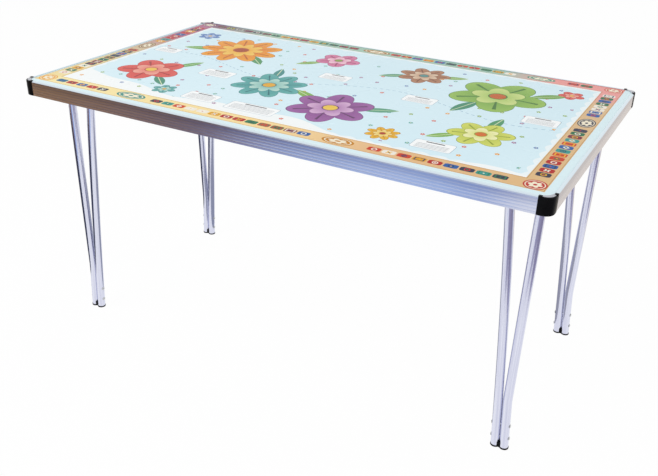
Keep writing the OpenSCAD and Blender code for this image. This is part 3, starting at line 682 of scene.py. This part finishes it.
wall = corner_strip("cap", -CAP_PROUD, WALL_T, CORNER_R - WALL_T, CAP_LOW, CAP_HIGH - CAP_LOW)
soften(wall, 1.2 * MM, 5)
flange = corner_strip("flange", 0.2 * MM, FLANGE_W, CORNER_R, CAP_LOW + 0.03 * MM, FLANGE_T)
soften(flange, 0.3 * MM, 2)
combine(wall, flange)

# The ear's section, in millimetres out from the rail's face and up from the floor. The second
# ear is the first with x and y changed over.
EAR = [(0.75, 633), (0.75, 635.8), (-5.5, 635.8), (-5.5, 635.03), (-1.9, 635.03), (-1.9, 633)]
CHANGE_OVER = Matrix(((0, 1, 0, 0), (1, 0, 0, 0), (0, 0, 1, 0), (0, 0, 0, 1)))
for changed_over in (False, True):
    section = [Vector((-CORNER_ARM, y * MM, z * MM)) for y, z in EAR]
    ear = soften(trace("ear", section, Vector((EAR_L, 0, 0))), 0.3 * MM, 3)
    if changed_over:
        ear.data.transform(CHANGE_OVER)
        ear.data.flip_normals()
    combine(wall, ear)
bpy.ops.object.shade_smooth_by_angle(angle=SHARP)

for (side, end), (turn, sign_x, sign_y) in CORNERS.items():
    cap = copy(wall, f"{side}_{end}_cap")
    place = Matrix.Translation((sign_x * TOP_L / 2, sign_y * TOP_W / 2, 0))
    cap.data.transform(place @ Matrix.Rotation(math.radians(turn), 4, "Z"))
    dress(cap, black_plastic, "table_top", f"{side}_{end}_corner_cap")
bpy.data.objects.remove(wall)

# Screws: zinc-plated steel with a cross recess, all driven from below. They go through the rails'
# ledges and the fittings into the board, and through the rails and caps into the corner keys.
zinc = Finish("zinc plate", metallic=1)
plate = zinc.noise(400, detail=3)
zinc.set("Base Color", zinc.ramp(plate, [(0.3, "b9bbbd"), (0.7, "d6d7d6")]))
zinc.set("Roughness", plate * 0.2 + 0.22)
for kind in ("edge_rail", "corner_key", "corner_cap", "pivot_block", "keeper", "clip"):
    coat(frame["nodes"][kind + "_screws"], zinc)

# Pivot blocks, rail keepers and stow clips: black mouldings screwed under the board. The blocks
# hold the pivot rails, the keepers lock the other rails, and the clips hold the folded legs.
for side, end in CORNERS:
    for kind, width in (("pivot_block", 0.8), ("rail_keeper", 0.5), ("stow_clip", 0.5)):
        node = f"{side}_{end}_{kind}"
        fitting = softened(node, node + "_moulding", width * MM, 3)
        dress(fitting, black_plastic, "table_top", node)

# Leg tubes: polished 19 mm aluminium tube. The inner one bows from its foot to the pivot rail;
# the outer one bends away above the riveted stretch and springs when the frame is squeezed.
TUBE_R, TUBE_WALL = 9.5 * MM, 1.2 * MM
PIVOT = Vector((502, 0, 607.9)) * MM
LOCK = Vector((565.5, 0, 607.9)) * MM
PAIR_PITCH, PAD_T = 19.4 * MM, 3.2 * MM
BOW_CENTRE = Vector((-14.91415, 0, -0.84653))
OUTER_BEND = Vector((0.55964, 0, 0.121))
LEG_SPAN, SPLAY, NEST_SHIFT = 471 * MM, 10 * MM, 12.2 * MM
RING_SIDES = 48


def polish(finish, place):
    """Drawn aluminium, polished, with its die lines by their place across the tube."""
    tone = draw_lines(finish, place, 0.3)
    finish.set("Base Color", finish.ramp(tone, [(0.32, "cdcfe4"), (0.68, "e4e6f3")]))


def ring(place, radius, turn):
    """A circle round a leg's line at place, with its line leaning inward by turn."""
    deselect()
    bpy.ops.mesh.primitive_circle_add(
        vertices=RING_SIDES, radius=radius, location=place, rotation=(0, -turn, 0))
    settle(bpy.context.object)
    bpy.ops.object.mode_set(mode="EDIT")


def on_bow(radius, turn):
    """A place on the circle that a tube's line follows, by how far its line leans there."""
    return BOW_CENTRE + Vector((radius * math.cos(turn), 0, radius * math.sin(turn)))


def run_straight(travel, steps):
    """Draws the open ring on by travel, in steps."""
    for _ in range(steps):
        bpy.ops.mesh.extrude_region_move(TRANSFORM_OT_translate={"value": travel / steps})


def finish_tube(name, cope_at):
    """Levels a tube's foot, gives it its wall and copes its head round its cross rail."""
    bpy.ops.mesh.select_all(action="SELECT")
    bpy.ops.mesh.normals_make_consistent(inside=False)
    bpy.ops.mesh.bisect(plane_co=(0, 0, PAD_T), plane_no=(0, 0, 1), clear_inner=True)
    bpy.ops.object.mode_set(mode="OBJECT")
    tube = bpy.context.object
    tube.name = name
    modify(tube, "SOLIDIFY", thickness=TUBE_WALL, offset=-1)
    bpy.ops.mesh.primitive_cylinder_add(
        vertices=2 * RING_SIDES, radius=TUBE_R + 0.05 * MM, depth=4 * TUBE_R,
        location=cope_at, rotation=(math.pi / 2, 0, 0))
    combine(tube, bpy.context.object, "DIFFERENCE")
    bpy.ops.object.shade_smooth_by_angle(angle=SHARP)
    return tube


BOW_R, FOOT_TURN, BOW_SWEEP = 15.4846, math.radians(3.13388), math.radians(2.25572)
ring(on_bow(BOW_R, FOOT_TURN), TUBE_R, FOOT_TURN)
bpy.ops.mesh.spin(steps=16, angle=BOW_SWEEP, center=BOW_CENTRE, axis=(0, 1, 0))
inner_tube = finish_tube("inner_tube", PIVOT)

# The outer tube's bend turns it by its kink over 20 mm, and its straight stretch runs to the rail
BEND_REACH, PAIRED_L = 10 * MM, 120 * MM
outer_r = BOW_R + PAIR_PITCH
paired_turn = FOOT_TURN + (PAIRED_L - BEND_REACH) / BOW_R
away = (LOCK - OUTER_BEND).normalized()
kink = paired_turn + BEND_REACH / BOW_R + math.atan2(away.x, away.z)
bend_r = BEND_REACH / math.tan(kink / 2)
bend_centre = on_bow(outer_r + bend_r, paired_turn)
ring(on_bow(outer_r, FOOT_TURN), TUBE_R, FOOT_TURN)
bpy.ops.mesh.spin(steps=9, angle=paired_turn - FOOT_TURN, center=BOW_CENTRE, axis=(0, 1, 0))
bpy.ops.mesh.spin(steps=6, angle=kink, center=bend_centre, axis=(0, -1, 0))
near_bend = away * 60 * MM
run_straight(near_bend, 8)
run_straight(LOCK - (OUTER_BEND + away * BEND_REACH) - near_bend, 6)
outer_tube = finish_tube("outer_tube", LOCK)

# Its die lines follow the tube: they are placed by how far out of the tube's own line they lie
inner_metal = Finish("inner tube metal", metallic=1)
outer_metal = Finish("outer tube metal", metallic=1)
for metal, radius in ((inner_metal, BOW_R), (outer_metal, outer_r)):
    out, rise = abs(metal.x) - BOW_CENTRE.x, metal.z - BOW_CENTRE.z
    aside = (out * out + rise * rise).math("SQRT") - radius
    if metal is outer_metal:
        straight = abs(metal.x).math("MULTIPLY_ADD", away.z, metal.z * -away.x)
        straight = straight - (OUTER_BEND.x * away.z - OUTER_BEND.z * away.x)
        aside = choose(metal.z > OUTER_BEND.z, aside, straight)
    polish(metal, metal.vector(aside, metal.y, metal.z * ALONG))

# Each leg's side and end, the turn to its end, and the side where it stands before that turn
LEGS = [("front", "right", 0, -1), ("back", "right", 0, 1),
        ("back", "left", 180, -1), ("front", "left", 180, 1)]


def at_legs(piece, name):
    """Copies of a part of a leg for all four, leaned outward, with their side and end."""
    for side, end, turn, across in LEGS:
        leg = copy(piece, f"{side}_{end}_{name}")
        to_end = Matrix.Rotation(math.radians(turn), 4, "Z")
        head = Matrix.Translation((0, NEST_SHIFT + across * LEG_SPAN / 2, PIVOT.z))
        lean = Matrix.Rotation(across * math.atan(SPLAY / PIVOT.z), 4, "X")
        leg.data.transform(to_end @ head @ lean @ Matrix.Translation((0, 0, -PIVOT.z)))
        yield leg, side, end
    bpy.data.objects.remove(piece)


for tube, side, end in at_legs(inner_tube, "inner_tube"):
    dress(tube, inner_metal, end + "_leg_frame", f"{side}_{end}_inner_leg")
# On the real table the outer tube springs over 45 mm to either side of its bend; here those two
# places are worked out but not used, and the tube is baked in place
for tube, side, end in at_legs(outer_tube, "outer_tube"):
    coat(tube, outer_metal)
    low, high = (OUTER_BEND + away * reach * MM for reach in (-45, 45))
    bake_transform(tube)
    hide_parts(f"{side}_{end}_lower_outer_leg", f"{side}_{end}_upper_outer_leg")

# Cross rails: the same tube, cut square with its mouths deburred. The pivot rail turns in its
# blocks; the locking rail snaps into the keepers. The black plugs in their ends are mouldings.
cross_metal = Finish("cross rail metal", metallic=1)
polish(cross_metal, cross_metal.vector(cross_metal.x, cross_metal.y * ALONG, cross_metal.z))
LOCK_RAIL_L, PIVOT_RAIL_L = 493 * MM, 550 * MM
for kind, body, middle, length in (
    ("pivot_rail", "_leg_frame", PIVOT, PIVOT_RAIL_L),
    ("locking_rail", "_lock_frame", LOCK, LOCK_RAIL_L),
):
    deselect()
    bpy.ops.mesh.primitive_cylinder_add(
        vertices=RING_SIDES, radius=TUBE_R, depth=length, end_fill_type="NOTHING",
        location=middle, rotation=(math.pi / 2, 0, 0))
    cross = settle(bpy.context.object)
    modify(cross, "SOLIDIFY", thickness=TUBE_WALL, offset=-1)
    flatten(soften(cross, 0.3 * MM))
    for end, turn in (("right", 0), ("left", 180)):
        node = f"{end}_{kind}"
        twin = copy(cross, node + "_tube", turn, (0, NEST_SHIFT, 0))
        dress(twin, cross_metal, end + body, node)
        plugs = softened(node + "_plugs", node + "_end_plugs", 0.4 * MM)
        dress(plugs, black_plastic, end + body, node + "_plugs")
    bpy.data.objects.remove(cross)

# Feet: one black moulding under each pair of tubes, with a round pad under each tube, a web in
# the crotch and a plug up into each tube. Two domed rivets hold each pair above it.
for end in ("right", "left"):
    rivets = softened(end + "_foot_rivets", end + "_domed_rivets", 0.3 * MM)
    dress(rivets, zinc, end + "_leg_frame", end + "_foot_rivets")
for side, end, _, _ in LEGS:
    node = f"{side}_{end}_foot"
    foot = softened(node, node + "_moulding", 0.5 * MM, 3)
    dress(foot, black_plastic, end + "_leg_frame", node)

# Studio: a white floor and a white surround with soft lamps. The floor keeps a faint shadow, and
# a few glowing boards that lie on it out of shot are seen in the bare metal and the black plastic
# only, as painted reflections.
FLOOR_SHARE = 0.975  # how much of the floor is plain white; the rest keeps the shadow


def show_white(shading, lit, end, share):
    """Shows white, by a share, to the camera and in what shines or is clear."""
    rays = shading.node("LightPath").socket.node.outputs
    by_camera, by_gloss, through = (
        Wire(shading, rays[f"Is {kind} Ray"]) for kind in ("Camera", "Glossy", "Transmission"))
    seen = by_camera.math("MAXIMUM", by_gloss).math("MAXIMUM", through)
    inputs = {0: seen * share, 1: Wire(shading, lit.outputs[0]), 2: shading.node("Emission")}
    shading.feed(end.inputs[0], shading.node("MixShader", inputs=inputs))


floor_paint = Finish("floor", base_color=(0.95, 0.95, 0.95, 1), roughness=0.9)
show_white(floor_paint, floor_paint.shader, floor_paint.tree.nodes["Material Output"], FLOOR_SHARE)
bpy.ops.mesh.primitive_plane_add(size=14, location=(0, 0, -0.5 * MM))
floor = bpy.context.object
floor.name = "floor"
coat(floor, floor_paint)
floor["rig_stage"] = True

world = bpy.data.worlds.new("studio")
world.use_nodes = True
bpy.context.scene.world = world
room_light = world.node_tree.nodes["Background"]
room_light.inputs["Color"].default_value = (1, 1, 1, 1)
room_light.inputs["Strength"].default_value = 0.5
show_white(Shading(world.node_tree), room_light, world.node_tree.nodes["World Output"], 1)

# The boards glow, and are what bare metal and black plastic mirror: painted reflections. Each has
# two opposite corners, and its tones from left to right with the x at which each lies.
BOARDS = {
    "front board": ((-14, -14), (0.5, -1.4), [
        (-14, (0.39, 0.22, 0.1)), (-2.1, (0.39, 0.22, 0.1)), (-1.16, (0.23, 0.17, 0.2)),
        (-0.93, (0.31, 0.32, 0.5)), (-0.73, (0.36, 0.47, 0.74)), (-0.31, (0.52, 0.65, 0.92)),
        (-0.09, (0.46, 0.62, 0.92)), (0.12, (0.3, 0.4, 0.72)), (0.2, (1, 1, 1)),
        (0.5, (1, 1, 1))]),
    "middle board": ((0.5, -2.2), (3, -0.95), [
        (0.5, (0.42, 0.41, 0.56)), (1.2, (0.34, 0.32, 0.46)), (3, (0.26, 0.22, 0.26))]),
    "side board": ((-2.2, -1.4), (-0.75, 0.5), [
        (-2.2, (0.04, 0.04, 0.07)), (-0.75, (0.05, 0.06, 0.1))]),
    "end board": ((1.2, -0.95), (3.2, 0.3), [
        (1.2, (0.34, 0.32, 0.46)), (3.2, (0.2, 0.16, 0.18))]),
    "under board": ((-0.5, -0.2), (0.5, 0.6), [
        (-0.5, (0.34, 0.36, 0.45)), (0.5, (0.4, 0.4, 0.45))]),
    "right board": ((0.64, 0.7), (2.4, 4), [
        (0.64, (0.82, 0.74, 0.65)), (2.4, (0.84, 0.77, 0.67))]),
}
for name, (low, high, tones) in BOARDS.items():
    size_x, size_y = high[0] - low[0], high[1] - low[1]
    tint = Finish(name)
    reach = tint.node("MapRange", inputs={0: tint.x, 1: low[0], 2: high[0]})
    stops = [((x - low[0]) / size_x, (*tone, 1)) for x, tone in tones]
    glow = tint.node("Emission", inputs={0: tint.node("ValToRGB", {"stops": stops}, {0: reach})})
    tint.feed(tint.tree.nodes["Material Output"].inputs[0], glow)
    middle = [(a + b) / 2 for a, b in zip(low, high)]
    bpy.ops.mesh.primitive_plane_add(size=1, location=(*middle, -0.3 * MM))
    board = bpy.context.object
    board.name = name.replace(" ", "_")
    board.scale = (size_x, size_y, 1)
    coat(settle(board), tint)
    for kind in ("camera", "diffuse", "transmission", "volume_scatter", "shadow"):
        setattr(board, "visible_" + kind, False)
    board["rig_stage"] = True

# Square lamps aimed at the table, by their place, width and power; the metal doesn't mirror them
TABLE_MIDDLE = Vector((0, 0, 0.4))
for name, place, size, power in (
    ("key", (-1.6, -2.2, 3.0), 2.4, 53),
    ("fill", (2.6, -1.6, 2.2), 2.0, 19),
    ("back", (0.2, 1.6, 4.0), 2.4, 24.5),
):
    lamp = bpy.data.objects.new(name, bpy.data.lights.new(name, "AREA"))
    lamp.data.size, lamp.data.energy = size, power
    lamp.location = place
    lamp.visible_glossy = False
    lamp.rotation_euler = (Vector(place) - TABLE_MIDDLE).to_track_quat("Z", "Y").to_euler()
    bpy.context.scene.collection.objects.link(lamp)
bpy.context.scene.view_settings.view_transform = "Standard"

low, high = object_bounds()
list(low)
list(high)
